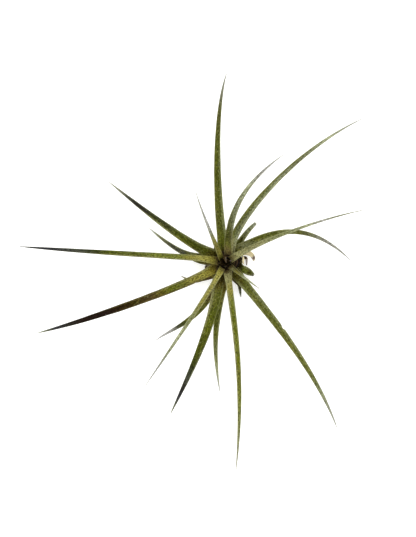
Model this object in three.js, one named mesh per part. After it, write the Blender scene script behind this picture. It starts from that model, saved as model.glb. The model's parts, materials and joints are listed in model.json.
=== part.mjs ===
// An air plant: a rosette of narrow, channelled leaves on a short stem, with no pot. It stands on the
// stem's cut foot and on the tips of its oldest leaves.
// Millimetres, +Z up. The origin is the middle of the foot, on the surface that the plant stands on.
// Seen from above, +X is to the right and +Y is up.

import * as THREE from "three";

// Stem: a blunt cone. Its side runs straight from the shoulder, just above the foot, to the crown.
const FOOT = { radius: 4.5, height: 0 };
const FLARE = { radius: 7.3, height: 1 };
const SHOULDER = { radius: 8.2, height: 2.6 };
const CROWN = { radius: 0.9, height: 13.4 };
const CROWN_CAP = { radius: 0.5, height: 13.9 };
const STEM_HEIGHT = 14.2;
const STEM_SIDES = 24;

// Leaves: a band that is folded into a channel, with its hollow side facing up and inwards. At the root it
// widens into a sheath that clasps the stem.
const SEAT_GAP = 0.3; // between a leaf's root and the stem
const MIDRIB_THICKNESS = 0.9;
const SHEATH_THICKNESS = 0.5;
const TIP_THICKNESS = 0.4;
const EDGE_THICKNESS = 0.45; // as a share of the middle's
const SHEATH_LENGTH = 18; // from the root to where the blade begins, on a long leaf
const SHEATH_SHARE = 0.45; // the most of a short leaf that its sheath takes
const SHEATH_HOLD = 1 / 6; // the share of the sheath that keeps its full width
const TAPER = 0.7; // below 1, the blade narrows late and comes to a blunter tip
const BLADE_FOLD = 48; // degrees that each half of the blade curls up by
const TIP_FOLD = 62;
const LEAST_WIDTH = 0.36; // at the very tip
const STATIONS = 17;
const CROWDING = 1.4; // how far the stations bunch up towards the root

const UNDERSIDE = [-1, -0.5, 0, 0.5, 1]; // shares of the half width, from edge to edge
const UPPERSIDE = [0.5, 0, -0.5];

const FINISHES = {
  leaf: { color: 0x6c7434, roughness: 0.7 },
  young_leaf: { color: 0x6b5a44, roughness: 0.7 },
  pale_dry_leaf: { color: 0xc9b48a, roughness: 0.85 },
  dark_dry_leaf: { color: 0x4f3d35, roughness: 0.85 },
  stem: { color: 0x4a3327, roughness: 0.85 },
};

// Oldest and outermost first.
//   root: [degrees round the stem, distance from its axis]
//   rise: how the root leaves the stem, as [heading, slope, how long it holds them]
//   tip: where the leaf ends
//   end: how the leaf arrives at its tip, as [heading, slope, how long it holds them]
//   blade, sheath: widths, laid flat
//   full: high where the blade keeps its width for longer
//   left: the share of the leaf that is left, on a leaf that has been broken off
const LEAVES = {
  dry_sheath_west: {
    root: [-172, 8.1], rise: [-170, 36, 1.8], tip: [-11, -2.8, 5], end: [196, 24, 1.6],
    blade: 4.6, sheath: 5, full: 1.4, left: 0.85,
  },
  dry_sheath_east: {
    root: [16, 7.9], rise: [-26, 50, 2.6], tip: [9.1, -1.4, 4.8], end: [-60, -20, 2.4],
    blade: 3.9, sheath: 2.2, full: 2.6, left: 0.94,
  },
  dry_leaf_dark: {
    root: [14, 8.2], rise: [2, 6, 2.6], tip: [10.4, -1.7, 1.8], end: [-80, -8, 3.4],
    blade: 1.6, sheath: 1.6, full: 1, left: 0.75,
  },
  dry_leaf_curled: {
    root: [34, 8.2], rise: [2, 24, 6], tip: [13.9, 0.5, 3], end: [-84, -30, 3.6],
    blade: 3, sheath: 3, full: 3, left: 0.9,
  },
  leaf_southwest_old: {
    root: [-139, 7.4], rise: [-152, 24, 10], tip: [-22.7, -6.8, 3.6], end: [150, 4, 9],
    blade: 3.4, sheath: 5, full: 1.1,
  },
  leaf_northeast_broken: {
    root: [54, 7.4], rise: [55, 50, 8], tip: [14.8, 19.4, 12.5], end: [42, 14, 8],
    blade: 3.4, sheath: 5.4, full: 1.6, left: 0.72,
  },
  leaf_south_old: {
    root: [-64, 7.7], rise: [-50, 24, 7], tip: [7.5, -17.6, 0.4], end: [-79, -20, 9],
    blade: 2.8, sheath: 3.4, full: 1.6,
  },
  leaf_west_old: {
    root: [172, 7], rise: [178, 40, 13], tip: [-38.3, 16.9, 0.3], end: [139, -22, 18],
    blade: 4.4, sheath: 5.6, full: 0.9,
  },
  leaf_southeast_broken: {
    root: [-18, 6.2], rise: [-46, 55, 6.8], tip: [13.8, -6.6, 11], end: [-35, 15, 7.5],
    blade: 4.5, sheath: 5.4, full: 5, left: 0.93,
  },
  leaf_northwest_old: {
    root: [120, 7.4], rise: [118, 60, 6], tip: [-7.4, 14, 12], end: [106, 30, 8],
    blade: 3, sheath: 5, full: 1,
  },
  leaf_southwest_back: {
    root: [-118, 6.2], rise: [-108, 58, 44], tip: [-34.9, -39, 0.3], end: [-143, -30, 14],
    blade: 4.6, sheath: 6, full: 1.1,
  },
  leaf_east_arching: {
    root: [49, 5.6], rise: [36.5, 59, 50], tip: [62, 1.1, 0.3], end: [-41.5, -40, 32],
    blade: 6, sheath: 6.4, full: 0.6,
  },
  leaf_northwest: {
    root: [150, 5.5], rise: [158, 62, 28], tip: [-57.1, 38.8, 27], end: [141, -4, 32],
    blade: 6.1, sheath: 6.2, full: 1,
  },
  leaf_south_back: {
    root: [-95, 5.4], rise: [-101, 58, 37], tip: [-3.1, -64.7, 0.3], end: [-81.5, -36, 37],
    blade: 5.6, sheath: 5.8, full: 0.75,
  },
  leaf_north: {
    root: [98, 5.4], rise: [106, 66, 29], tip: [-0.1, 90.7, 36], end: [72.5, -6, 24.6],
    blade: 5.3, sheath: 6, full: 1.5,
  },
  leaf_southeast: {
    root: [-49, 5.6], rise: [-52.5, 64, 50], tip: [53.4, -80.4, 34], end: [-69.5, -8, 34],
    blade: 5.3, sheath: 5.8, full: 1.4,
  },
  leaf_southsouthwest: {
    root: [-112, 4.4], rise: [-111, 66, 41], tip: [-27.2, -73.7, 30], end: [-116, -10, 58],
    blade: 6.5, sheath: 5.6, full: 1.4,
  },
  leaf_westsouthwest: {
    root: [-155, 4.6], rise: [-141, 64, 29], tip: [-90.5, -34.1, 41], end: [-166, -4, 27],
    blade: 4.6, sheath: 5.4, full: 2.6,
  },
  leaf_northeast: {
    root: [62, 4.9], rise: [102, 66, 28], tip: [63.8, 67.5, 54], end: [25, 2, 38],
    blade: 4.9, sheath: 5, full: 1,
  },
  leaf_west: {
    root: [178, 3.4], rise: [157, 70, 18.5], tip: [-98.5, 7.2, 48], end: [175.5, -4, 60],
    blade: 3.2, sheath: 4.4, full: 2.8,
  },
  leaf_south: {
    root: [-78, 3.6], rise: [-89.8, 72, 43.4], tip: [4.2, -98.4, 56], end: [-96, 0, 49.5],
    blade: 3.5, sheath: 4.8, full: 2.2,
  },
  leaf_northnortheast: {
    root: [62.5, 3.2], rise: [97.2, 66, 38.6], tip: [26.2, 50, 62], end: [34.8, 18, 28],
    blade: 6.2, sheath: 5.2, full: 0.7,
  },
  leaf_southwest: {
    root: [-124, 3], rise: [-116, 72, 30], tip: [-38.2, -58, 60], end: [-124.4, 18, 31],
    blade: 3, sheath: 3.2, full: 1.4,
  },
  leaf_east: {
    root: [25, 2], rise: [40, 71, 31], tip: [62.9, 23.9, 64], end: [11, 18, 23],
    blade: 4.1, sheath: 3.9, full: 0.55,
  },
  leaf_northnorthwest: {
    root: [148, 2.6], rise: [113, 78, 22], tip: [-14.5, 31.8, 74], end: [106, 48, 15],
    blade: 4.4, sheath: 3.4, full: 0.6,
  },
  leaf_southeast_inner: {
    root: [-50, 2.4], rise: [-38, 80, 20], tip: [14.7, -12.5, 72], end: [-36, 62, 18],
    blade: 2.6, sheath: 2.8, full: 1,
  },
  leaf_young_west: {
    root: [-174, 1.7], rise: [-172, 84, 14], tip: [-4.6, -1, 50], end: [-170, 78, 12],
    blade: 2.2, sheath: 2.6, full: 1,
  },
  leaf_young_north: {
    root: [112, 1.8], rise: [100, 88, 12], tip: [-0.3, -0.3, 50], end: [-70, 84, 14],
    blade: 1.8, sheath: 2.2, full: 1,
  },
  leaf_young_south: {
    root: [-104, 1.5], rise: [-104, 86, 10], tip: [-0.6, -2.6, 42], end: [-100, 84, 9],
    blade: 1.8, sheath: 2.2, full: 1,
  },
  leaf_young_east: {
    root: [-4, 1], rise: [10, 84, 10], tip: [2.6, 0.6, 46], end: [20, 80, 10],
    blade: 1.8, sheath: 2, full: 1,
  },
};

function direction(heading, slope) {
  const [h, s] = [heading, slope].map(THREE.MathUtils.degToRad);
  return new THREE.Vector3(Math.cos(s) * Math.cos(h), Math.cos(s) * Math.sin(h), Math.sin(s));
}

function stemHeight(radius) {
  return THREE.MathUtils.mapLinear(radius, SHOULDER.radius, CROWN.radius, SHOULDER.height, CROWN.height);
}

// The middle of the leaf, from its root on the stem to its tip.
function leafLine({ root: [azimuth, radius], rise, tip, end }) {
  const outwards = radius + SEAT_GAP + SHEATH_THICKNESS / 2;
  const root = direction(azimuth, 0).multiplyScalar(outwards).setZ(stemHeight(radius));
  const last = new THREE.Vector3(...tip);
  const [heading, slope, hold] = rise;
  const [endHeading, endSlope, endHold] = end;
  const afterRoot = direction(heading, slope).multiplyScalar(hold).add(root);
  const beforeTip = direction(endHeading, endSlope).multiplyScalar(-endHold).add(last);
  return new THREE.CubicBezierCurve3(root, afterRoot, beforeTip, last);
}

// One ring of points round the leaf. side points across it, and face points out of its hollow side.
function leafRing(centre, side, face, { width, fold, thickness }) {
  const radius = width / 2 / fold;
  const point = (share, lift) => {
    const turn = share * fold;
    const inwards = face.clone().multiplyScalar(Math.cos(turn)).addScaledVector(side, -Math.sin(turn));
    const edge = Math.abs(share) === 1 ? 0 : THREE.MathUtils.lerp(1, EDGE_THICKNESS, share * share);
    return centre
      .clone()
      .addScaledVector(side, radius * Math.sin(turn))
      .addScaledVector(face, radius * (1 - Math.cos(turn)))
      .addScaledVector(inwards, (lift * edge * thickness) / 2);
  };
  return [...UNDERSIDE.map((share) => point(share, -1)), ...UPPERSIDE.map((share) => point(share, 1))];
}

// The leaf's size across, at a share of its length.
function leafSize({ root, blade, sheath, full, left = 1 }, length, along) {
  const grown = along * left;
  const sheathEnd = Math.min(SHEATH_LENGTH, length * SHEATH_SHARE);
  const rooted = 1 - THREE.MathUtils.smoothstep(along * length, sheathEnd * SHEATH_HOLD, sheathEnd);
  const { lerp, degToRad } = THREE.MathUtils;
  const bladeWidth = blade * (1 - grown ** full) ** TAPER;
  const width = Math.max(LEAST_WIDTH, lerp(bladeWidth, sheath, rooted));
  const wrap = sheath / 2 / (root[1] + SEAT_GAP + SHEATH_THICKNESS / 2);
  const fold = lerp(degToRad(lerp(BLADE_FOLD, TIP_FOLD, grown)), wrap, rooted);
  const thickness = lerp(lerp(MIDRIB_THICKNESS, TIP_THICKNESS, grown), SHEATH_THICKNESS, rooted);
  return { width, fold, thickness: Math.min(thickness, width) };
}

function leafRings(leaf) {
  const line = leafLine(leaf);
  const length = line.getLength();
  const side = direction(leaf.root[0] + 90, 0);
  const rings = [];
  for (let i = 0; i <= STATIONS; i++) {
    const along = (i / STATIONS) ** CROWDING;
    const tangent = line.getTangentAt(along);
    side.addScaledVector(tangent, -side.dot(tangent)).normalize();
    const face = tangent.clone().cross(side);
    rings.push(leafRing(line.getPointAt(along), side, face, leafSize(leaf, length, along)));
  }
  return rings;
}

// A closed skin over a row of rings, each with the same number of points. Each end is closed by a strip from
// the ring's first half to its second, which suits a hollow ring as well as a round one.
function loft(rings) {
  const count = rings[0].length;
  const lastRow = (rings.length - 1) * count;
  const index = [];
  const close = (a, b, c) => index.push(c, b, a, lastRow + a, lastRow + b, lastRow + c);
  for (let j = 0; j < count / 2; j++) {
    const across = count - j;
    if (j > 0) close(j, across - 1, across);
    if (j + 1 < across - 1) close(j, j + 1, across - 1);
  }
  for (let row = 0; row < lastRow; row += count) {
    for (let j = 0; j < count; j++) {
      const k = (j + 1) % count;
      index.push(row + j, row + k, row + count + j);
      index.push(row + k, row + count + k, row + count + j);
    }
  }
  return new THREE.BufferGeometry().setFromPoints(rings.flat()).setIndex(index);
}

function stemGeometry() {
  const rings = [FOOT, FLARE, SHOULDER, CROWN, CROWN_CAP];
  const side = rings.map(({ radius, height }) => new THREE.Vector2(radius, height));
  const profile = [new THREE.Vector2(0, 0), ...side, new THREE.Vector2(0, STEM_HEIGHT)];
  return new THREE.LatheGeometry(profile, STEM_SIDES).rotateX(Math.PI / 2);
}

function leafFinish(name) {
  if (name === "dry_leaf_dark") return FINISHES.dark_dry_leaf;
  if (name.startsWith("dry")) return FINISHES.pale_dry_leaf;
  return name.startsWith("leaf_young") ? FINISHES.young_leaf : FINISHES.leaf;
}

const plant = new THREE.Group();

function add(name, geometry, finish) {
  const mesh = new THREE.Mesh(geometry, new THREE.MeshStandardMaterial({ ...finish, metalness: 0 }));
  mesh.name = name;
  plant.add(mesh);
}

add("stem", stemGeometry(), FINISHES.stem);
for (const [name, leaf] of Object.entries(LEAVES)) {
  add(name, loft(leafRings(leaf)), leafFinish(name));
}

export default plant;
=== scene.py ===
"""An air plant with no pot, lying free on a pale surface: narrow, channelled leaves round a short stem.

Sizes are in millimetres where nothing else is said, and meshes are made in metres. The origin is the
middle of the stem's cut foot, +Z is up and, seen from above, +X is to the right and +Y is up.
"""

import json
import math

import bpy
import numpy as np
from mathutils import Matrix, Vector, noise


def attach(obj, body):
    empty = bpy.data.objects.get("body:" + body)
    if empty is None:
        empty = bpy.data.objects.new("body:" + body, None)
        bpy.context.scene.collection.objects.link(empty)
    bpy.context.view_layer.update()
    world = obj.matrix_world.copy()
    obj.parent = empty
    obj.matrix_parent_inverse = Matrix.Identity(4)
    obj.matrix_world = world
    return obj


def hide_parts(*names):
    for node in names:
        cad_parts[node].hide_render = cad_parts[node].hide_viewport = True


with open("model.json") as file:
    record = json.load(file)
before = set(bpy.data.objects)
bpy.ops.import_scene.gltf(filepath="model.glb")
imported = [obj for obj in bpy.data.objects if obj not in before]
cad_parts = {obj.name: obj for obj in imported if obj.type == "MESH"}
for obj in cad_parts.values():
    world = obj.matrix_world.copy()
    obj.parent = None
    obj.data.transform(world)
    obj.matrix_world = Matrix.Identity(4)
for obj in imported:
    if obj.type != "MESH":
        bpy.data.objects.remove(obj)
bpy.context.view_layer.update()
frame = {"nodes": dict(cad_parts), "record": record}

MM = 0.001
WHITE = (1, 1, 1, 1)

# ---------------------------------------------------------------- camera and light

# The camera looks straight down from above the middle of the frame, 1 m over the surface.
CAMERA_PLACE = (-9, -3.25, 1000)
SENSOR = 36
FRAME_LENGTH = 268.5  # of the surface, along the picture's long side
LENS = SENSOR * CAMERA_PLACE[2] / FRAME_LENGTH
VIEW_DEPTH = 20  # metres

# name: place in metres, width in metres, watts
LAMPS = {
    "overhead": ((-0.35, 0.45, 1.5), 1.1, 13),
    "fill": ((0.9, -0.9, 1.1), 1.2, 4),
}
SKY_STRENGTH = 1.0
EXPOSURE = 1.3  # how much light an open, level surface gives back, for each part of white
FLOOR_WIDTH = 6  # metres
FLOOR_WHITE = (0.9, 0.9, 0.89, 1)
FLOOR_GLOW = 0.3


def add_camera():
    camera = bpy.data.objects.new("camera", bpy.data.cameras.new("camera"))
    camera.location = Vector(CAMERA_PLACE) * MM
    camera.data.lens = LENS
    camera.data.sensor_width = SENSOR
    camera.data.clip_end = VIEW_DEPTH
    bpy.context.scene.collection.objects.link(camera)
    bpy.context.scene.camera = camera


def add_lamps():
    for name, (place, width, watts) in LAMPS.items():
        lamp = bpy.data.objects.new(name, bpy.data.lights.new(name, "AREA"))
        lamp.data.size = width
        lamp.data.energy = watts
        lamp.location = place
        lamp.rotation_euler = (-Vector(place)).to_track_quat("-Z", "Y").to_euler()
        bpy.context.scene.collection.objects.link(lamp)


def add_sky():
    world = bpy.data.worlds.new("studio")
    world.use_nodes = True
    background = world.node_tree.nodes["Background"]
    background.inputs["Color"].default_value = WHITE
    background.inputs["Strength"].default_value = SKY_STRENGTH
    bpy.context.scene.world = world
    bpy.context.scene.view_settings.view_transform = "Standard"


# ---------------------------------------------------------------- colours

COLOURS = {
    "earth": "#1a0d06",
    "coal": "#281b05",
    "bark": "#312807",
    "plum": "#49391f",
    "umber": "#54462a",
    "tan": "#695f38",
    "dusk": "#5b4a36",
    "shade": "#413d10",
    "night": "#343919",
    "moss": "#4a5014",
    "ivy": "#525228",
    "fern": "#545920",
    "olive": "#64662a",
    "grass": "#5f6517",
    "fresh": "#6d742c",
    "lime": "#81843a",
    "gold": "#746a22",
    "bronze": "#5c531c",
    "straw": "#89833c",
    "honey": "#98924c",
    "khaki": "#8e8c60",
    "meadow": "#6a7046",
    "sage": "#7c8054",
    "lichen": "#5c5e3c",
    "stone": "#6c6e50",
    "ash": "#868a6c",
    "pale": "#a2a685",
    "slate": "#45473a",
    "ink": "#2b2823",
    "pitch": "#21150f",
    "scale": "#b0b17c",
    "cream": "#fff0c2",
    "biscuit": "#e0d3ae",
    "stain": "#7c6040",
    "mauve": "#a89c94",
    "mist": "#b2b1ad",
    "haze": "#9c9b96",
    "steel": "#36363a",
    "soot": "#150f08",
}


def linear(name):
    """The named colour in linear light, as the material needs it to look so under the lamps."""
    channels = [int(COLOURS[name][i : i + 2], 16) / 255 for i in (1, 3, 5)]
    light = [c / 12.92 if c <= 0.04045 else ((c + 0.055) / 1.055) ** 2.4 for c in channels]
    return tuple(c / EXPOSURE for c in light) + (1,)


# A "share of the way" is from root to tip: on a living leaf as seen from above, on a dried one along it.
#   along: colours from root to tip, each with the share of the way where it is full
#   bands: lengthwise bands, as colour, middle and reach across the leaf (-1 and 1 are the edges, and 1
#     is on the left to an eye that looks towards the tip), strength, and the shares of the way between
#     which it shows; some are the leaf's own streaks and margins, and some are painted light and shade,
#     one side of the leaf's channel made lighter and the other darker
#   spots, dots, scurf, rim: strength of the blotches, the dark grain, the pale scales and the pale edge
#   lift: painted light at its root, where little light reaches it: how many times brighter it is made
#       there
#   tip: how far the tip turns pale
#   clear: the share of the way past which the leaf has no blotches, grain or scales
#   stains: strength of the stains on a dried leaf
# USUAL has what a leaf's own entry leaves out.
USUAL = {
    "bands": (), "spots": 0.3, "dots": 0.5, "scurf": 0.45, "rim": 0.4, "lift": 2.4, "tip": 0.45,
    "clear": 1.2, "stains": 0.5,
}
YOUNG = {"lift": 1, "tip": 0, "rim": 0, "spots": 0, "scurf": 0.1}
LOOKS = {
    "leaf_north": {
        "along": [
            (0, "shade"), (0.05, "moss"), (0.2, "fern"), (0.28, "fern"), (0.38, "moss"), (0.5, "moss"),
            (0.62, "fern"), (0.75, "ivy"), (0.85, "lichen"), (1, "stone"),
        ],
        "bands": [
            ("meadow", -0.8, 0.5, 0.75, 0.05, 0.6), ("sage", -0.85, 0.4, 0.7, 0.12, 0.32),
            ("sage", -0.85, 0.35, 0.7, 0.48, 0.75), ("olive", 0.75, 0.5, 0.6, 0.04, 0.5),
        ],
    },
    "leaf_northnortheast": {
        "along": [
            (0, "umber"), (0.05, "tan"), (0.1, "olive"), (0.15, "ivy"), (0.2, "ivy"), (0.26, "lichen"),
            (0.34, "stone"), (0.44, "ash"), (0.6, "pale"), (0.76, "haze"), (1, "mist"),
        ],
        "bands": [
            ("khaki", -0.85, 0.4, 0.8, 0.04, 0.2), ("ash", -0.8, 0.5, 0.8, 0.22, 0.7),
            ("moss", 0.5, 0.5, 0.6, 0.12, 0.3), ("lichen", 0.75, 0.45, 0.6, 0.3, 0.52),
        ],
        "lift": 2.7,
    },
    "leaf_northeast": {
        "along": [
            (0, "shade"), (0.05, "khaki"), (0.1, "meadow"), (0.17, "stone"), (0.25, "meadow"),
            (0.31, "sage"), (0.38, "meadow"), (0.47, "ash"), (0.6, "stone"), (0.7, "ash"),
            (0.8, "pale"), (1, "ash"),
        ],
        "bands": [("pale", -0.75, 0.5, 0.6, 0.03, 0.5), ("olive", 0.65, 0.5, 0.7, 0.02, 0.7)],
        "scurf": 0.7, "tip": 0.7,
    },
    "leaf_northeast_broken": {
        "along": [
            (0, "olive"), (0.18, "olive"), (0.25, "moss"), (0.32, "shade"), (0.37, "shade"),
            (0.45, "lichen"), (0.62, "stone"), (0.8, "ash"), (1, "pale"),
        ],
        "bands": [
            ("sage", -0.75, 0.5, 0.8, 0.25, 1), ("ash", -0.9, 0.3, 0.6, 0.5, 1),
            ("sage", 0.8, 0.4, 0.7, 0.15, 1),
        ],
        "rim": 0.5, "tip": 0.3,
    },
    "leaf_east_arching": {
        "along": [
            (0, "bark"), (0.05, "ivy"), (0.1, "stone"), (0.2, "olive"), (0.27, "fern"), (0.34, "fern"),
            (0.42, "sage"), (0.47, "sage"), (0.51, "fern"), (0.57, "lichen"), (0.62, "stone"),
            (0.78, "haze"), (1, "haze"),
        ],
        "bands": [("sage", -0.75, 0.5, 0.7, 0.03, 0.28), ("moss", 0.2, 0.5, 0.6, 0.2, 0.38)],
        "spots": 0.7, "scurf": 0.6, "dots": 0.8,
    },
    "leaf_east": {
        "along": [
            (0, "tan"), (0.05, "khaki"), (0.27, "khaki"), (0.35, "sage"), (0.46, "sage"), (0.53, "ash"),
            (0.6, "pale"), (0.72, "haze"), (0.84, "stone"), (1, "lichen"),
        ],
        "bands": [("pale", -0.8, 0.5, 0.5, 0.12, 0.5)],
        "scurf": 0.7, "dots": 0.6, "lift": 2.2, "tip": 0.2,
    },
    "leaf_southeast_broken": {
        "along": [
            (0, "earth"), (0.08, "coal"), (0.17, "shade"), (0.25, "fern"), (0.35, "fresh"),
            (0.47, "fresh"), (0.6, "fern"), (0.7, "shade"), (0.77, "moss"), (0.88, "ivy"),
            (1, "lichen"),
        ],
        "bands": [("sage", 0.8, 0.45, 0.8, 0.35, 1), ("sage", -0.85, 0.35, 0.6, 0.4, 1)],
        "scurf": 0.6, "dots": 0.9, "tip": 0.15, "rim": 0.55,
    },
    "leaf_southeast_inner": {
        "along": [
            (0, "umber"), (0.06, "tan"), (0.12, "khaki"), (0.24, "straw"), (0.32, "straw"),
            (0.42, "sage"), (0.5, "pale"), (1, "pale"),
        ],
        "bands": [("bark", 0.7, 0.5, 0.8, 0.05, 0.34)],
        "scurf": 0.6,
    },
    "leaf_southeast": {
        "along": [
            (0, "shade"), (0.06, "shade"), (0.1, "fern"), (0.2, "olive"), (0.28, "fern"), (0.4, "fern"),
            (0.5, "olive"), (0.56, "fern"), (0.65, "olive"), (0.74, "meadow"), (0.82, "ash"),
            (1, "ash"),
        ],
        "bands": [
            ("sage", 0.7, 0.5, 0.75, 0.12, 0.7), ("sage", -0.85, 0.4, 0.7, 0.06, 0.24),
            ("sage", -0.85, 0.4, 0.8, 0.5, 0.8),
        ],
        "scurf": 0.6, "dots": 0.7, "lift": 2, "tip": 0.6,
    },
    "leaf_south_old": {
        "along": [
            (0, "plum"), (0.3, "pitch"), (0.46, "pitch"), (0.58, "ink"), (0.66, "slate"), (1, "slate"),
        ],
        "tip": 0.3,
    },
    "leaf_south": {
        "along": [
            (0, "umber"), (0.04, "khaki"), (0.11, "straw"), (0.16, "fresh"), (0.21, "grass"),
            (0.31, "grass"), (0.36, "fresh"), (0.45, "grass"), (0.52, "olive"), (0.65, "fresh"),
            (0.8, "sage"), (1, "khaki"),
        ],
        "bands": [
            ("khaki", -0.85, 0.45, 0.8, 0.03, 0.9), ("umber", 0.8, 0.5, 0.5, 0, 0.07),
            ("sage", 0.85, 0.35, 0.5, 0.12, 0.8),
        ],
        "dots": 0.6, "lift": 1.8,
    },
    "leaf_south_back": {
        "along": [
            (0, "plum"), (0.12, "bronze"), (0.18, "straw"), (0.28, "fresh"), (0.36, "fern"),
            (0.42, "fern"), (0.5, "grass"), (0.62, "meadow"), (0.72, "sage"), (0.82, "pale"),
            (1, "pale"),
        ],
        "bands": [
            ("sage", 0.8, 0.4, 0.7, 0.2, 0.8), ("moss", -0.5, 0.5, 0.6, 0.24, 0.45),
            ("sage", -0.85, 0.3, 0.7, 0.45, 0.9),
        ],
        "dots": 0.8, "scurf": 0.6, "tip": 0.7,
    },
    "leaf_southsouthwest": {
        "along": [
            (0, "pitch"), (0.05, "bark"), (0.1, "bronze"), (0.16, "olive"), (0.21, "olive"),
            (0.26, "moss"), (0.38, "grass"), (0.46, "moss"), (0.56, "moss"), (0.66, "night"),
            (0.74, "slate"), (0.81, "ink"), (0.88, "steel"), (1, "ash"),
        ],
        "bands": [
            ("khaki", -0.8, 0.45, 0.8, 0.04, 0.38), ("moss", 0.65, 0.55, 0.75, 0.1, 0.45),
            ("coal", 0.8, 0.4, 0.7, 0, 0.1), ("stone", 0.85, 0.4, 0.7, 0.5, 0.75),
        ],
        "dots": 1, "scurf": 0.6, "lift": 1.7, "tip": 0, "clear": 0.6, "rim": 0.2,
    },
    "leaf_southwest": {
        "along": [
            (0, "tan"), (0.04, "straw"), (0.1, "honey"), (0.22, "honey"), (0.3, "straw"), (0.4, "sage"),
            (0.48, "sage"), (0.58, "pale"), (0.72, "ash"), (0.86, "haze"), (1, "haze"),
        ],
        "bands": [("pale", -0.9, 0.3, 0.4, 0.1, 0.6), ("khaki", 0.85, 0.3, 0.6, 0.05, 0.4)],
        "scurf": 0.6, "dots": 0.6, "lift": 2.1, "tip": 0.3, "clear": 0.7, "rim": 0.3,
    },
    "leaf_southwest_back": {
        "along": [
            (0, "coal"), (0.2, "umber"), (0.28, "tan"), (0.34, "olive"), (0.4, "moss"), (0.46, "fern"),
            (0.53, "olive"), (0.6, "fern"), (0.66, "night"), (0.72, "slate"), (0.8, "haze"),
            (1, "mist"),
        ],
        "bands": [("lime", -0.8, 0.4, 0.5, 0.3, 0.42), ("shade", 0.6, 0.4, 0.5, 0.2, 0.42)],
        "dots": 0.8, "spots": 0.5, "tip": 0.6, "clear": 0.75,
    },
    "leaf_southwest_old": {
        "along": [
            (0, "gold"), (0.12, "bronze"), (0.22, "umber"), (0.32, "olive"), (0.5, "gold"),
            (0.7, "straw"), (0.8, "khaki"), (1, "mauve"),
        ],
        "bands": [("dusk", 0.8, 0.5, 0.7, 0.15, 0.75)],
    },
    "leaf_westsouthwest": {
        "along": [
            (0, "umber"), (0.03, "gold"), (0.09, "straw"), (0.16, "straw"), (0.21, "olive"),
            (0.27, "grass"), (0.33, "bronze"), (0.39, "plum"), (0.46, "bark"), (0.52, "coal"),
            (0.56, "coal"), (0.63, "pitch"), (0.75, "pitch"), (0.84, "ink"), (0.91, "steel"),
            (1, "ash"),
        ],
        "bands": [
            ("khaki", -0.85, 0.4, 0.7, 0.04, 0.34), ("umber", 0.85, 0.35, 0.7, 0.1, 0.55),
            ("tan", -0.85, 0.35, 0.6, 0.38, 0.6),
        ],
        "spots": 0.5, "dots": 0.6, "scurf": 0.35, "rim": 0.15, "lift": 2.2, "tip": 0, "clear": 0.5,
    },
    "leaf_west": {
        "along": [
            (0, "umber"), (0.04, "straw"), (0.1, "honey"), (0.15, "straw"), (0.21, "fresh"),
            (0.32, "fresh"), (0.4, "fern"), (0.5, "fern"), (0.56, "moss"), (0.61, "night"),
            (0.7, "slate"), (0.85, "steel"), (1, "steel"),
        ],
        "bands": [("khaki", 0.85, 0.4, 0.7, 0.08, 0.6), ("sage", -0.85, 0.3, 0.5, 0.15, 0.5)],
        "lift": 1.9, "tip": 0, "clear": 0.6, "rim": 0.2,
    },
    "leaf_west_old": {
        "along": [
            (0, "plum"), (0.15, "shade"), (0.24, "olive"), (0.3, "fern"), (0.35, "ivy"), (0.4, "slate"),
            (0.65, "slate"), (0.8, "stone"), (1, "pale"),
        ],
        "bands": [("stone", -0.85, 0.4, 0.7, 0.2, 0.9), ("stone", 0.85, 0.35, 0.6, 0.5, 0.9)],
        "tip": 0.7,
    },
    "leaf_northwest": {
        "along": [
            (0, "bark"), (0.05, "shade"), (0.1, "moss"), (0.35, "moss"), (0.42, "night"),
            (0.58, "night"), (0.64, "ink"), (0.74, "ink"), (0.82, "slate"), (0.9, "stone"), (1, "ash"),
        ],
        "bands": [
            ("sage", -0.85, 0.4, 0.7, 0.04, 0.25), ("meadow", -0.8, 0.4, 0.6, 0.25, 0.42),
            ("olive", 0.75, 0.4, 0.8, 0.04, 0.4), ("sage", 0.85, 0.4, 0.8, 0.38, 0.64),
            ("slate", -0.8, 0.4, 0.6, 0.4, 0.8),
        ],
        "tip": 0.4, "clear": 0.65,
    },
    "leaf_northnorthwest": {
        "along": [
            (0, "olive"), (0.05, "straw"), (0.2, "straw"), (0.28, "honey"), (0.38, "ash"),
            (0.5, "mist"), (1, "mist"),
        ],
        "bands": [("honey", 0.8, 0.4, 0.6, 0.05, 0.4)],
        "lift": 2.6,
    },
    "leaf_northwest_old": {
        "along": [(0, "bark"), (0.5, "shade"), (1, "plum")],
    },
    "leaf_young_west": {
        "along": [(0, "umber"), (0.2, "plum"), (0.35, "coal"), (0.9, "coal"), (1, "plum")],
        **YOUNG,
    },
    "leaf_young_north": {
        "along": [(0, "umber"), (0.3, "plum"), (0.7, "plum"), (1, "dusk")],
        "bands": [("mauve", -0.8, 0.4, 0.5, 0.1, 0.9)],
        **YOUNG,
    },
    "leaf_young_south": {
        "along": [(0, "coal"), (0.3, "soot"), (0.9, "soot"), (1, "plum")],
        "bands": [("dusk", 0.8, 0.4, 0.6, 0.2, 0.9)],
        **YOUNG, "lift": 0.6,
    },
    "leaf_young_east": {
        "along": [(0, "soot"), (0.5, "soot"), (0.65, "plum"), (0.9, "tan"), (1, "tan")],
        "bands": [("mauve", 0.8, 0.4, 0.7, 0.3, 1)],
        **YOUNG,
    },
    "dry_sheath_west": {
        "along": [
            (0, "umber"), (0.2, "biscuit"), (0.5, "biscuit"), (0.62, "khaki"), (0.75, "dusk"),
            (1, "dusk"),
        ],
        "bands": [("mauve", -0.8, 0.5, 0.8, 0.5, 1)],
        "stains": 0.3,
    },
    "dry_sheath_east": {
        "along": [(0, "khaki"), (0.25, "cream"), (1, "cream")],
        "stains": 0.12,
    },
    "dry_leaf_dark": {
        "along": [(0, "earth"), (0.22, "earth"), (0.32, "dusk"), (0.42, "mauve"), (1, "mauve")],
    },
    "dry_leaf_curled": {
        "along": [
            (0, "cream"), (0.68, "cream"), (0.78, "mauve"), (0.85, "stain"), (0.92, "mauve"),
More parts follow.
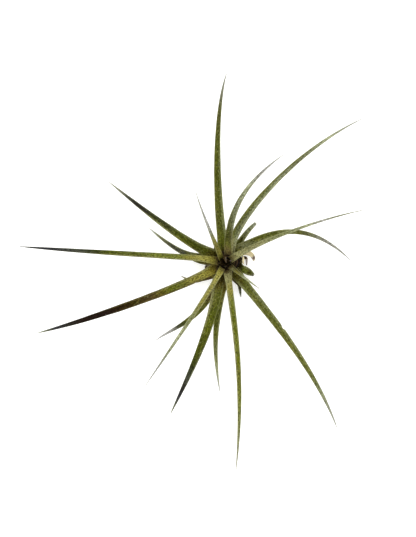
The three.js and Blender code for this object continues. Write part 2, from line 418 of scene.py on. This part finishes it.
            (1, "cream"),
        ],
        "stains": 0.2,
    },
}


# ---------------------------------------------------------------- materials

# Cloudy patterns: how often each repeats in a millimetre along the leaf and across it, with a third
# number that makes the leaves differ, then its finer layers and how strong each is beside the last.
LEAF_SWAY = ((0.09, 0.35, 1), 2, 0.5)
BLOTCHES = ((0.3, 0.8, 1), 3, 0.6)
VEINS = ((0.1, 3.2, 1), 2, 0.5)
GRAIN = ((0.8, 1.3, 1), 2, 0.65)
PATCHES = ((0.25, 0.3, 1), 2, 0.5)
DRY_SWAY = ((0.4, 0.8, 1), 3, 0.5)
DRY_FIBRES = ((0.2, 4.5, 1), 3, 0.6)
DRY_MARKS = ((0.7, 1.1, 1), 4, 0.6)
# The same for the stem, in a metre along each of its axes.
STEM_FIBRES = ((900, 900, 260), 4, 0.65)
STEM_PATCHES = ((260, 260, 260), 3, 0.5)
STEM_SCARS = ((150, 150, 1300), 2, 0.6)
SCALES = (1.1, 1.5, 1)  # pale scales in a millimetre, along and across, and the third number

# How a pattern, from about 0.3 to about 0.7, turns into strength: where the passage starts and ends, and
# the strength before and after it, where the leaf's look doesn't give that.
DARK_BLOTCHES = (0.52, 0.66)
LIGHT_BLOTCHES = (0.36, 0.46)
LIGHT_BLOTCH_STRENGTH = 0.6  # beside the dark ones
VEIN_LIGHT = (0.3, 0.7, 0.82, 1.14)
GRAIN_LIGHT = (0.37, 0.63, 1.45, 0.58)
DOTS = (0.54, 0.66)
PATCH_STRENGTH = (0.35, 0.6, 0.35, 1)
PATCH_ROUGHNESS = (0.35, 1, 0.62, 0.76)
SCALE_EDGE = (0.15, 0.5, 1, 0)  # by the distance from the scale's middle
SCALE_CHANCE = (0.5, 0.7)
FIBRE_STAINS = (0.52, 0.72)
MARK_STAINS = (0.56, 0.72)
BARK_PATCHES = (0.4, 0.65)
BARK_FIBRES = (0.52, 0.75, 0, 0.6)
PALE_SCARS = (0.54, 0.6, 0, 0.7)
DARK_SCARS = (0.4, 0.46, 0.8, 0)

COLOUR_SWAY = 0.08  # how much a leaf's colours stray along it, as a share of the way
DRY_COLOUR_SWAY = 0.2
BAND_SWAY = 0.5  # how much its bands stray across it, in half widths
BAND_CORE = 0.3  # the share of its reach over which a band has its full strength
BAND_START = 0.05  # the share of the way, on both sides of its start, over which a band sets in
BAND_END = 0.1
CLEARING = (-0.1, 0.08)  # the shares of the way round "clear" between which the marks fade away
PAINTED_ROOT_LIGHT_REACH = (0, 0.18)  # the shares of the way between which the painted light at the root is lost
PAINTED_ROOT_SHADE = (0, 0.02, 0.3, 0)  # painted shade at the very root, deep in the crown: shares of the way, and strength
RIM_SWAY = 0.3  # how much the pale edge strays, in half widths
RIM = (0.78, 1)  # the shares of the half width between which it sets in
TIP = (0.78, 1)  # the shares of the way between which the tip turns pale

# Depth of the relief, in metres, and how strong each pattern is in a leaf's.
LEAF_RELIEF = 0.00012
DRY_RELIEF = 0.00025
STEM_RELIEF = 0.0005
SCALE_RELIEF = 0.4
VEIN_RELIEF = 0.8
GRAIN_RELIEF = 0.5


class Skin:
    """A material under construction, with short calls for the nodes that it needs."""

    def __init__(self, name, roughness, sheen=0.0, specular=0.3):
        self.material = bpy.data.materials.new(name)
        self.material.use_nodes = True
        self.tree = self.material.node_tree
        self.shader = self.tree.nodes["Principled BSDF"]
        self.shader.inputs["Sheen Weight"].default_value = sheen
        self.shader.inputs["Specular IOR Level"].default_value = specular
        self.shader.inputs["Roughness"].default_value = roughness

    def node(self, kind, inputs=(), **settings):
        made = self.tree.nodes.new(kind)
        for key, value in settings.items():
            setattr(made, key, value)
        for socket, value in dict(inputs).items():
            self.feed(made.inputs[socket], value)
        return made

    def feed(self, socket, value):
        if isinstance(value, bpy.types.NodeSocket):
            self.tree.links.new(value, socket)
        else:
            socket.default_value = value

    def attribute(self, name):
        return self.node("ShaderNodeAttribute", attribute_name=name).outputs["Vector"]

    def split(self, vector):
        return self.node("ShaderNodeSeparateXYZ", {0: vector}).outputs

    def stretch(self, vector, factors):
        made = self.node("ShaderNodeVectorMath", {0: vector, 1: factors}, operation="MULTIPLY")
        return made.outputs["Vector"]

    def math(self, operation, a, b=0.0):
        return self.node("ShaderNodeMath", {0: a, 1: b}, operation=operation).outputs[0]

    def product(self, *factors):
        result = factors[0]
        for factor in factors[1:]:
            result = self.math("MULTIPLY", result, factor)
        return result

    def moved(self, value, sway, amount):
        """The value, moved by that amount of the sway."""
        return self.math("ADD", value, self.math("MULTIPLY", sway, amount))

    def fade(self, value, start, end, low=0.0, high=1.0):
        """low before start, high after end, and a smooth passage between them."""
        inputs = {"Value": value, "From Min": start, "From Max": end, "To Min": low, "To Max": high}
        return self.node("ShaderNodeMapRange", inputs, interpolation_type="SMOOTHSTEP").outputs[0]

    def noise(self, vector, pattern):
        """A cloudy pattern, about 0.5."""
        factors, detail, roughness = pattern
        place = self.stretch(vector, factors)
        inputs = {"Vector": place, "Scale": 1.0, "Detail": detail, "Roughness": roughness}
        return self.node("ShaderNodeTexNoise", inputs).outputs["Fac"]

    def sway(self, vector, pattern):
        """The same, about 0."""
        return self.math("SUBTRACT", self.noise(vector, pattern), 0.5)

    def cells(self, vector, factors):
        """The distance from the middle of each cell, and a chance number of the cell's own."""
        inputs = {"Vector": self.stretch(vector, factors), "Scale": 1.0}
        made = self.node("ShaderNodeTexVoronoi", inputs, feature="F1")
        return made.outputs["Distance"], self.split(made.outputs["Color"])[0]

    def ramp(self, value, stops):
        """A colour for each share of the way, from (share, colour name) stops."""
        made = self.node("ShaderNodeValToRGB", {"Fac": value})
        elements = made.color_ramp.elements
        while len(elements) < len(stops):
            elements.new(1)
        for element, (share, name) in zip(elements, stops):
            element.position = share
            element.color = linear(name)
        return made.outputs["Color"]

    def mix(self, factor, a, b, blend="MIX"):
        made = self.node("ShaderNodeMix", data_type="RGBA", blend_type=blend)
        for socket, value in ((0, factor), (6, a), (7, b)):
            self.feed(made.inputs[socket], value)
        return made.outputs[2]

    def paint(self, colour, name, strength):
        """The colour, with the named one over it."""
        return self.mix(strength, colour, linear(name))

    def dim(self, colour, light):
        """The colour, times a number."""
        grey = self.node("ShaderNodeCombineColor", {0: light, 1: light, 2: light}).outputs[0]
        return self.mix(1.0, colour, grey, "MULTIPLY")

    def finish(self, colour, height, depth, roughness=None):
        """Sends the colour, the relief with its depth in metres and the roughness to the shader."""
        self.feed(self.shader.inputs["Base Color"], colour)
        bump = self.node("ShaderNodeBump", {"Height": height, "Distance": depth, "Strength": 1.0})
        self.feed(self.shader.inputs["Normal"], bump.outputs["Normal"])
        if roughness is not None:
            self.feed(self.shader.inputs["Roughness"], roughness)
        return self.material


def banded_and_side_lit(skin, look, way, across, sway):
    """The leaf's colours along it, with lengthwise bands over them: some are its own streaks and
    margins, and some are painted light and shade, one side of its channel lighter and the other darker.
    """
    colour = skin.ramp(way, look["along"])
    strayed = skin.moved(across, sway, BAND_SWAY)
    # Some bands are painted light and shade: one side of the channel made lighter, the other darker.
    for tint, middle, reach, strength, start, end in look["bands"]:
        off = skin.math("ABSOLUTE", skin.math("SUBTRACT", strayed, middle))
        near = skin.fade(off, reach * BAND_CORE, reach, strength, 0)
        after = skin.fade(way, start - BAND_START, start + BAND_START)
        before = skin.fade(way, end - BAND_END, end + BAND_END, 1, 0)
        colour = skin.paint(colour, tint, skin.product(near, after, before))
    return colour


def blotched(skin, colour, place, marked, spots):
    """The colour with large soft blotches, some darker and some lighter."""
    blotches = skin.noise(place, BLOTCHES)
    dark = skin.product(marked, skin.fade(blotches, *DARK_BLOTCHES, 0, spots))
    lighter = skin.fade(blotches, *LIGHT_BLOTCHES, spots * LIGHT_BLOTCH_STRENGTH, 0)
    return skin.paint(skin.paint(colour, "shade", dark), "straw", skin.product(marked, lighter))


def leaf_skin(name, look):
    """A living leaf: bands and blotches, veins along it, dark grain and pale scales all over it, with
    painted light and shade along the sides of its channel, painted light towards its root and painted
    shade at the very root.
    """
    skin = Skin(name, roughness=0.7, specular=0.03)
    plan, across, along = skin.split(skin.attribute("leaf_share"))
    place = skin.attribute("leaf_place")
    sway = skin.sway(place, LEAF_SWAY)
    marked = skin.fade(plan, *(look["clear"] + share for share in CLEARING), 1, 0)
    patches = skin.product(marked, skin.fade(skin.noise(place, PATCHES), *PATCH_STRENGTH))
    veins = skin.noise(place, VEINS)
    grain = skin.noise(place, GRAIN)
    off_middle, chance = skin.cells(place, SCALES)
    scales = skin.product(skin.fade(off_middle, *SCALE_EDGE), skin.fade(chance, *SCALE_CHANCE))

    colour = banded_and_side_lit(skin, look, skin.moved(plan, sway, COLOUR_SWAY), across, sway)
    colour = blotched(skin, colour, place, marked, look["spots"])
    # Painted light: the colour is made brighter towards the root, where the crown shades it.
    painted_root_light = skin.fade(plan, *PAINTED_ROOT_LIGHT_REACH, look["lift"], 1)
    veined, grained = skin.fade(veins, *VEIN_LIGHT), skin.fade(grain, *GRAIN_LIGHT)
    colour = skin.dim(colour, skin.product(painted_root_light, veined, grained))
    dots = skin.fade(grain, *DOTS, 0, look["dots"])
    colour = skin.paint(colour, "shade", skin.product(dots, patches))
    colour = skin.paint(colour, "scale", skin.product(scales, patches, look["scurf"]))

    rim = skin.fade(skin.moved(skin.math("ABSOLUTE", across), sway, RIM_SWAY), *RIM)
    colour = skin.paint(colour, "scale", skin.product(rim, look["rim"]))
    colour = skin.paint(colour, "mist", skin.fade(plan, *TIP, 0, look["tip"]))
    # Painted shade: the very root darkens towards coal, deep in the crown.
    colour = skin.paint(colour, "coal", skin.fade(along, *PAINTED_ROOT_SHADE))

    relief = skin.moved(skin.product(scales, SCALE_RELIEF), veins, VEIN_RELIEF)
    relief = skin.moved(relief, grain, GRAIN_RELIEF)
    return skin.finish(colour, relief, LEAF_RELIEF, skin.fade(patches, *PATCH_ROUGHNESS))


def dry_skin(name, look):
    """A dried, papery leaf: fibres along it, stains and brown marks."""
    skin = Skin(name, roughness=0.8, sheen=0.03, specular=0.08)
    _, across, along = skin.split(skin.attribute("leaf_share"))
    place = skin.attribute("leaf_place")
    sway = skin.sway(place, DRY_SWAY)
    fibres = skin.noise(place, DRY_FIBRES)
    marks = skin.noise(place, DRY_MARKS)

    colour = banded_and_side_lit(skin, look, skin.moved(along, sway, DRY_COLOUR_SWAY), across, sway)
    colour = skin.paint(colour, "stain", skin.fade(fibres, *FIBRE_STAINS, 0, look["stains"]))
    colour = skin.paint(colour, "bark", skin.fade(marks, *MARK_STAINS, 0, look["stains"]))
    return skin.finish(colour, fibres, DRY_RELIEF)


def stem_skin():
    """A dark, fibrous stem, ringed with the scars of leaves that are gone."""
    skin = Skin("stem_bark", roughness=0.85, specular=0.1)
    place = skin.node("ShaderNodeTexCoord").outputs["Object"]
    fibres = skin.noise(place, STEM_FIBRES)
    patches = skin.noise(place, STEM_PATCHES)
    scars = skin.noise(place, STEM_SCARS)

    colour = skin.paint(linear("earth"), "bark", skin.fade(patches, *BARK_PATCHES))
    colour = skin.paint(colour, "dusk", skin.fade(fibres, *BARK_FIBRES))
    colour = skin.paint(colour, "stain", skin.fade(scars, *PALE_SCARS))
    colour = skin.paint(colour, "soot", skin.fade(scars, *DARK_SCARS))
    return skin.finish(colour, skin.math("ADD", fibres, scars), STEM_RELIEF)


def floor_skin():
    skin = Skin("floor", roughness=0.9)
    skin.shader.inputs["Base Color"].default_value = FLOOR_WHITE
    skin.shader.inputs["Emission Color"].default_value = WHITE
    skin.shader.inputs["Emission Strength"].default_value = FLOOR_GLOW
    return skin.material


# ---------------------------------------------------------------- leaves

# The stem's side, which carries the leaves, as distance from the axis and height.
SHOULDER = (8.2, 2.6)
CROWN = (0.9, 13.4)

SEAT_GAP = 0.3  # between a leaf's root and the stem
MIDRIB_THICKNESS = 0.9
SHEATH_THICKNESS = 0.5
TIP_THICKNESS = 0.4
EDGE_THICKNESS = 0.45  # as a share of the middle's
LEAST_WIDTH = 0.3
SHEATH_LENGTH = 18  # from the root to where the leaf is all blade
SHEATH_SHARE = 0.45  # of a short leaf, which is the most that the sheath takes
SHEATH_HOLD = 1 / 6  # the share of the sheath that has its full width
TAPER = 0.7  # below 1, the blade narrows late and comes to a blunter tip
BLADE_FOLD = 48  # degrees that each half of the blade curls up by
TIP_FOLD = 62

# How a leaf's fold, the curl of its edges and a dried leaf's half width change along it: by what share,
# and over what length.
FOLD_WAVE = (0.12, 14)
CURL_WAVE = (0.05, 5)
RAGGED_WAVE = (0.16, 1.3)
SEED_PLACES = (7.31, 3.17)  # how far apart the leaves lie on the waves
SEED_SPACING = 10  # how far apart they lie in their patterns
EDGE_PLACE = 0.5  # how far a leaf's edges lie from its middle on the waves

# How the broken and the dried leaves end: how far their corners and their notches lie back.
WORN = {
    "dry_sheath_west": (1.2, 0.8),
    "dry_sheath_east": (0.5, 0.9),
    "dry_leaf_dark": (0.3, 0.3),
    "dry_leaf_curled": (0.8, 0.5),
    "leaf_northeast_broken": (0.9, 0.4),
    "leaf_southeast_broken": (0.8, 0.25),
}
WORN_REACH = 3.6  # from the end, over which it wears away
NOTCH_SPREAD = 3.7  # how fast the notches change across the end
NOTCH_PLACE = 2.3  # where on the wave they are read

# A nick in a left edge: the share of the way, seen from above, its half length in the same share, and
# its depth as a share of the half width.
NICKS = {"leaf_southeast": (0.391, 0.018, 0.42)}

STEP = 0.6  # between rings of points
LEAST_STEPS = 12
LINE_SAMPLES = 600
# Shares of the half width with points, from the right edge to the left.
SHARES = (-1, -0.94, -0.82, -0.64, -0.42, -0.2, 0, 0.2, 0.42, 0.64, 0.82, 0.94, 1)
# A ring: along the lower face, -1, and back along the upper one, 1.
RING = [(share, -1) for share in SHARES] + [(share, 1) for share in reversed(SHARES[1:-1])]

# Oldest and outermost first.
#   root: degrees round the stem, distance from its axis
#   rise: how the root leaves the stem, as heading, slope and how long it holds them
#   tip: where the leaf ends
#   end: how the leaf arrives at its tip, as heading, slope and how long it holds them
#   size: the blade's width, the sheath's width, and how long the blade keeps its width
#   left: the share of the leaf that is left, on a leaf that has been broken off
LEAVES = {
    "dry_sheath_west": {
        "root": (-172, 8.1), "rise": (-170, 36, 1.8), "tip": (-11, -2.8, 5), "end": (196, 24, 1.6),
        "size": (4.6, 5, 1.4), "left": 0.85,
    },
    "dry_sheath_east": {
        "root": (16, 7.9), "rise": (-26, 50, 2.6), "tip": (9.1, -1.4, 4.8), "end": (-60, -20, 2.4),
        "size": (3.9, 2.2, 2.6), "left": 0.94,
    },
    "dry_leaf_dark": {
        "root": (14, 8.2), "rise": (2, 6, 2.6), "tip": (10.4, -1.7, 1.8), "end": (-80, -8, 3.4),
        "size": (1.6, 1.6, 1), "left": 0.75,
    },
    "dry_leaf_curled": {
        "root": (34, 8.2), "rise": (2, 24, 6), "tip": (13.9, 0.5, 3), "end": (-84, -30, 3.6),
        "size": (3, 3, 3), "left": 0.9,
    },
    "leaf_southwest_old": {
        "root": (-139, 7.4), "rise": (-152, 24, 10), "tip": (-22.7, -6.8, 3.6), "end": (150, 4, 9),
        "size": (3.4, 5, 1.1),
    },
    "leaf_northeast_broken": {
        "root": (54, 7.4), "rise": (55, 50, 8), "tip": (14.8, 19.4, 12.5), "end": (42, 14, 8),
        "size": (3.4, 5.4, 1.6), "left": 0.72,
    },
    "leaf_south_old": {
        "root": (-64, 7.7), "rise": (-50, 24, 7), "tip": (7.5, -17.6, 0.4), "end": (-79, -20, 9),
        "size": (2.8, 3.4, 1.6),
    },
    "leaf_west_old": {
        "root": (172, 7), "rise": (178, 40, 13), "tip": (-38.3, 16.9, 0.3), "end": (139, -22, 18),
        "size": (4.4, 5.6, 0.9),
    },
    "leaf_southeast_broken": {
        "root": (-18, 6.2), "rise": (-46, 55, 6.8), "tip": (13.8, -6.6, 11), "end": (-35, 15, 7.5),
        "size": (4.5, 5.4, 5), "left": 0.93,
    },
    "leaf_northwest_old": {
        "root": (120, 7.4), "rise": (118, 60, 6), "tip": (-7.4, 14, 12), "end": (106, 30, 8),
        "size": (3, 5, 1),
    },
    "leaf_southwest_back": {
        "root": (-118, 6.2), "rise": (-108, 58, 44), "tip": (-34.9, -39, 0.3), "end": (-143, -30, 14),
        "size": (4.6, 6, 1.1),
    },
    "leaf_east_arching": {
        "root": (49, 5.6), "rise": (36.5, 59, 50), "tip": (62, 1.1, 0.3), "end": (-41.5, -40, 32),
        "size": (6, 6.4, 0.6),
    },
    "leaf_northwest": {
        "root": (150, 5.5), "rise": (158, 62, 28), "tip": (-57.1, 38.8, 27), "end": (141, -4, 32),
        "size": (6.1, 6.2, 1),
    },
    "leaf_south_back": {
        "root": (-95, 5.4), "rise": (-101, 58, 37), "tip": (-3.1, -64.7, 0.3), "end": (-81.5, -36, 37),
        "size": (5.6, 5.8, 0.75),
    },
    "leaf_north": {
        "root": (98, 5.4), "rise": (106, 66, 29), "tip": (-0.1, 90.7, 36), "end": (72.5, -6, 24.6),
        "size": (5.3, 6, 1.5),
    },
    "leaf_southeast": {
        "root": (-49, 5.6), "rise": (-52.5, 64, 50), "tip": (53.4, -80.4, 34), "end": (-69.5, -8, 34),
        "size": (5.3, 5.8, 1.4),
    },
    "leaf_southsouthwest": {
        "root": (-112, 4.4), "rise": (-111, 66, 41), "tip": (-27.2, -73.7, 30), "end": (-116, -10, 58),
        "size": (6.5, 5.6, 1.4),
    },
    "leaf_westsouthwest": {
        "root": (-155, 4.6), "rise": (-141, 64, 29), "tip": (-90.5, -34.1, 41), "end": (-166, -4, 27),
        "size": (4.6, 5.4, 2.6),
    },
    "leaf_northeast": {
        "root": (62, 4.9), "rise": (102, 66, 28), "tip": (63.8, 67.5, 54), "end": (25, 2, 38),
        "size": (4.9, 5, 1),
    },
    "leaf_west": {
        "root": (178, 3.4), "rise": (157, 70, 18.5), "tip": (-98.5, 7.2, 48), "end": (175.5, -4, 60),
        "size": (3.2, 4.4, 2.8),
    },
    "leaf_south": {
        "root": (-78, 3.6), "rise": (-89.8, 72, 43.4), "tip": (4.2, -98.4, 56), "end": (-96, 0, 49.5),
        "size": (3.5, 4.8, 2.2),
    },
    "leaf_northnortheast": {
        "root": (62.5, 3.2), "rise": (97.2, 66, 38.6), "tip": (26.2, 50, 62), "end": (34.8, 18, 28),
        "size": (6.2, 5.2, 0.7),
    },
    "leaf_southwest": {
        "root": (-124, 3), "rise": (-116, 72, 30), "tip": (-38.2, -58, 60), "end": (-124.4, 18, 31),
        "size": (3, 3.2, 1.4),
    },
    "leaf_east": {
        "root": (25, 2), "rise": (40, 71, 31), "tip": (62.9, 23.9, 64), "end": (11, 18, 23),
        "size": (4.1, 3.9, 0.55),
    },
    "leaf_northnorthwest": {
        "root": (148, 2.6), "rise": (113, 78, 22), "tip": (-14.5, 31.8, 74), "end": (106, 48, 15),
        "size": (4.4, 3.4, 0.6),
    },
    "leaf_southeast_inner": {
        "root": (-50, 2.4), "rise": (-38, 80, 20), "tip": (14.7, -12.5, 72), "end": (-36, 62, 18),
        "size": (2.6, 2.8, 1),
    },
    "leaf_young_west": {
        "root": (-174, 1.7), "rise": (-172, 84, 14), "tip": (-4.6, -1, 50), "end": (-170, 78, 12),
        "size": (2.2, 2.6, 1),
    },
    "leaf_young_north": {
        "root": (112, 1.8), "rise": (100, 88, 12), "tip": (-0.3, -0.3, 50), "end": (-70, 84, 14),
        "size": (1.8, 2.2, 1),
    },
    "leaf_young_south": {
        "root": (-104, 1.5), "rise": (-104, 86, 10), "tip": (-0.6, -2.6, 42), "end": (-100, 84, 9),
        "size": (1.8, 2.2, 1),
    },
    "leaf_young_east": {
        "root": (-4, 1), "rise": (10, 84, 10), "tip": (2.6, 0.6, 46), "end": (20, 80, 10),
        "size": (1.8, 2, 1),
    },
}


def direction(heading, slope):
    h, s = math.radians(heading), math.radians(slope)
    return np.array([math.cos(s) * math.cos(h), math.cos(s) * math.sin(h), math.sin(s)])


def mix(a, b, share):
    return a + (b - a) * share


def smooth(value, start, end):
    share = min(max((value - start) / (end - start), 0), 1)
    return share * share * (3 - 2 * share)


def stem_height(radius):
    return mix(SHOULDER[1], CROWN[1], (radius - SHOULDER[0]) / (CROWN[0] - SHOULDER[0]))


def seat(radius):
    """The distance from the stem's axis of the middle of a root that sits on the stem there."""
    return radius + SEAT_GAP + SHEATH_THICKNESS / 2


class Line:
    """The middle of a leaf: a cubic curve from its root to its tip, read by distance along it."""

    def __init__(self, leaf):
        azimuth, radius = leaf["root"]
        heading, slope, hold = leaf["rise"]
        end_heading, end_slope, end_hold = leaf["end"]
        root = direction(azimuth, 0) * seat(radius) + np.array([0, 0, stem_height(radius)])
        tip = np.array(leaf["tip"], float)
        after_root = root + direction(heading, slope) * hold
        before_tip = tip - direction(end_heading, end_slope) * end_hold
        self.poles = np.array([root, after_root, before_tip, tip])
        self.times = np.linspace(0, 1, LINE_SAMPLES)
        steps = np.diff(self.at(self.times[:, None]), axis=0)
        self.reach = np.concatenate([[0], np.cumsum(np.linalg.norm(steps, axis=1))])
        self.plan = np.concatenate([[0], np.cumsum(np.linalg.norm(steps[:, :2], axis=1))])
        self.length = self.reach[-1]

    def at(self, t):
        a, b, c, d = self.poles
        return a * (1 - t) ** 3 + 3 * b * t * (1 - t) ** 2 + 3 * c * t**2 * (1 - t) + d * t**3

    def point(self, distance):
        return self.at(np.interp(distance, self.reach, self.times))

    def tangent(self, distance):
        t = np.interp(distance, self.reach, self.times)
        a, b, c, d = self.poles
        along = (b - a) * (1 - t) ** 2 + 2 * (c - b) * t * (1 - t) + (d - c) * t**2
        return along / np.linalg.norm(along)

    def plan_share(self, distance):
        """The share of the way that is behind, as seen from above."""
        return np.interp(distance, self.reach, self.plan) / self.plan[-1]


def leaf_size(leaf, length, distance):
    """Width, fold in radians and thickness of the leaf at a distance from its root."""
    blade, sheath, full = leaf["size"]
    grown = min(distance / length, 1) * leaf.get("left", 1)
    sheath_end = min(SHEATH_LENGTH, length * SHEATH_SHARE)
    rooted = 1 - smooth(distance, sheath_end * SHEATH_HOLD, sheath_end)
    width = max(LEAST_WIDTH, mix(blade * (1 - grown**full) ** TAPER, sheath, rooted))
    wrap = sheath / 2 / seat(leaf["root"][1])
    fold = mix(math.radians(mix(BLADE_FOLD, TIP_FOLD, grown)), wrap, rooted)
    thickness = mix(mix(MIDRIB_THICKNESS, TIP_THICKNESS, grown), SHEATH_THICKNESS, rooted)
    return width, fold, min(thickness, width)


def wave(seed, distance, period):
    """A smooth value from -1 to 1 that changes along a leaf, unlike on any other leaf."""
    across, up = SEED_PLACES
    return noise.noise(Vector((distance / period, seed * across, seed * up)))


def varied(kind, seed, distance, strength=1.0):
    """A factor about 1 that changes along a leaf, as its kind says."""
    amount, period = kind
    return 1 + amount * strength * wave(seed, distance, period)


def worn(name, seed, share, distance, length):
    """How far a point near the end lies back along the leaf."""
    if name not in WORN:
        return 0
    corner, notch = WORN[name]
    back = corner * share**4 + notch * (0.5 + wave(seed + NOTCH_SPREAD * share, NOTCH_PLACE, 1))
    return back * smooth(distance, length - WORN_REACH, length)


def edge_reach(name, seed, share, distance, plan):
    """The share of the half width that the leaf really reaches at a point across it."""
    if name in NICKS and share > 0:
        middle, half, depth = NICKS[name]
        depth *= 1 - smooth(abs(plan - middle), 0, half)
        return share * (1 - depth * share**3)
    if name.startswith("dry"):
        own_side = math.copysign(EDGE_PLACE, share)
        return share * varied(RAGGED_WAVE, seed + own_side, distance, share * share)
    return share


def leaf_ring(name, leaf, seed, line, distance, side):
    """The points round the leaf at a distance, each with its two places on the leaf:

    its shares of the way seen from above, of the half width and of the way along the leaf, and its
    millimetres along and across, with a number of the leaf's and the face's own.
    """
    centre, tangent, plan = line.point(distance), line.tangent(distance), line.plan_share(distance)
    face = np.cross(tangent, side)
    width, fold, thickness = leaf_size(leaf, line.length, distance)
    fold *= varied(FOLD_WAVE, seed, distance)
    radius = width / 2 / fold
    for share, lift in RING:
        turn = edge_reach(name, seed, share, distance, plan) * fold
        turn *= varied(CURL_WAVE, seed + EDGE_PLACE * share, distance, abs(share))
        middle = side * radius * math.sin(turn) + face * radius * (1 - math.cos(turn))
        inwards = face * math.cos(turn) - side * math.sin(turn)
        thin = 0 if abs(share) == 1 else mix(1, EDGE_THICKNESS, share * share)
        back = tangent * worn(name, seed, share, distance, line.length)
        point = centre + middle - back + inwards * lift * thin * thickness / 2
        shares = (plan, share, distance / line.length)
        yield point * MM, shares, (distance, share * width / 2, seed * SEED_SPACING + lift)


def leaf_faces(count):
    """Squares between the rings of points, and a strip over each end, from edge to edge."""
    across = len(RING)
    last = count * across
    cap = [(j, j + 1, across - j - 1, (across - j) % across) for j in range(len(SHARES) - 1)]
    cap[0] = cap[0][:3]
    cap[-1] = cap[-1][:2] + cap[-1][3:]
    faces = [tuple(reversed(face)) for face in cap] + [tuple(last + j for j in face) for face in cap]
    for i in range(count):
        row, after = i * across, (i + 1) * across
        for j in range(across):
            k = (j + 1) % across
            faces.append((row + j, row + k, after + k, after + j))
    return faces


def leaf_mesh(name, leaf, seed):
    """The leaf from its root to its tip, with its points' places on it for the material to read."""
    line = Line(leaf)
    count = max(LEAST_STEPS, round(line.length / STEP))
    side = direction(leaf["root"][0] + 90, 0)
    rings = []
    for i in range(count + 1):
        distance = line.length * i / count
        tangent = line.tangent(distance)
        side = side - tangent * side.dot(tangent)
        side /= np.linalg.norm(side)
        rings.extend(leaf_ring(name, leaf, seed, line, distance, side))
    points, shares, places = zip(*rings)
    mesh = bpy.data.meshes.new(name)
    mesh.from_pydata([tuple(point) for point in points], [], leaf_faces(count))
    for label, values in (("leaf_share", shares), ("leaf_place", places)):
        layer = mesh.attributes.new(label, "FLOAT_VECTOR", "POINT")
        layer.data.foreach_set("vector", np.array(values, np.float32).ravel())
    mesh.shade_smooth()
    return mesh


# ---------------------------------------------------------------- scene


def add_piece(name, mesh, material, node, slot):
    piece = bpy.data.objects.new(name, mesh)
    mesh.materials.append(material)
    bpy.context.scene.collection.objects.link(piece)
    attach(piece, "root")
    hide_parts(node)


def add_leaves():
    slots = {part["node"]: part["material_slot"] for part in frame["record"]["subparts"]}
    for seed, (name, leaf) in enumerate(LEAVES.items()):
        skin = dry_skin if name.startswith("dry") else leaf_skin
        mesh = leaf_mesh(name, leaf, seed)
        add_piece(name + "_grown", mesh, skin(name, {**USUAL, **LOOKS[name]}), name, slots[name])


def cover_stem():
    """The stem keeps its own mesh and gets its bark."""
    stem = next(node for node in frame["nodes"].values() if node.name == "stem")
    stem.data.materials.clear()
    stem.data.materials.append(stem_skin())


def add_floor():
    bpy.ops.mesh.primitive_plane_add(size=FLOOR_WIDTH, location=(0, 0, 0))
    floor = bpy.context.object
    floor.name = "floor"
    floor.data.materials.append(floor_skin())


add_camera()
add_lamps()
add_sky()
add_floor()
add_leaves()
cover_stem()
